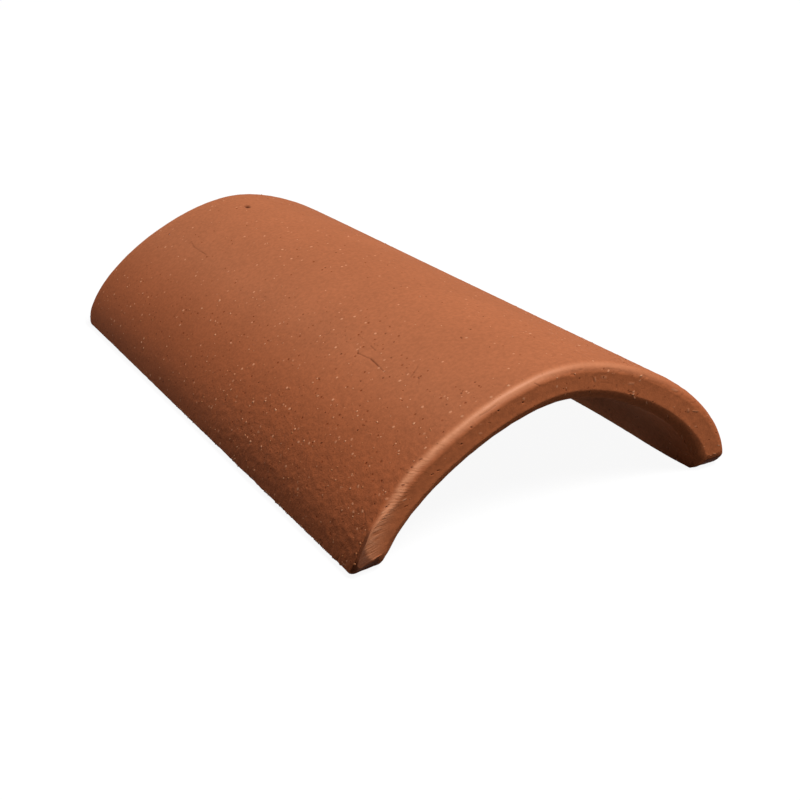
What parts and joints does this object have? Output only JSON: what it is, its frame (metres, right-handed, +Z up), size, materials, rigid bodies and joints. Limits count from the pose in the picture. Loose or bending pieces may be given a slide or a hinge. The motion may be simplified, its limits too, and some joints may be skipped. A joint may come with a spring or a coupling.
{
  "type": "clay roof tile",
  "caption": "Tapered half-round clay roof tile, open at both ends, laid hollow side down as a cover or hollow side up as a channel.",
  "frame": {"origin": "on the floor under the middle of the tile, between its two feet", "axes": "+Z up out of the crown, +Y along the tile from its wide end to its narrow end, +X across it"},
  "size_m": [0.1894, 0.284, 0.0669],
  "materials": {
    "fired_clay": "matte unglazed fired clay, orange-brown with pale grog specks"
  },
  "bodies": {
    "root": {"barrel_tile": "fired_clay"}
  },
  "joints": []
}
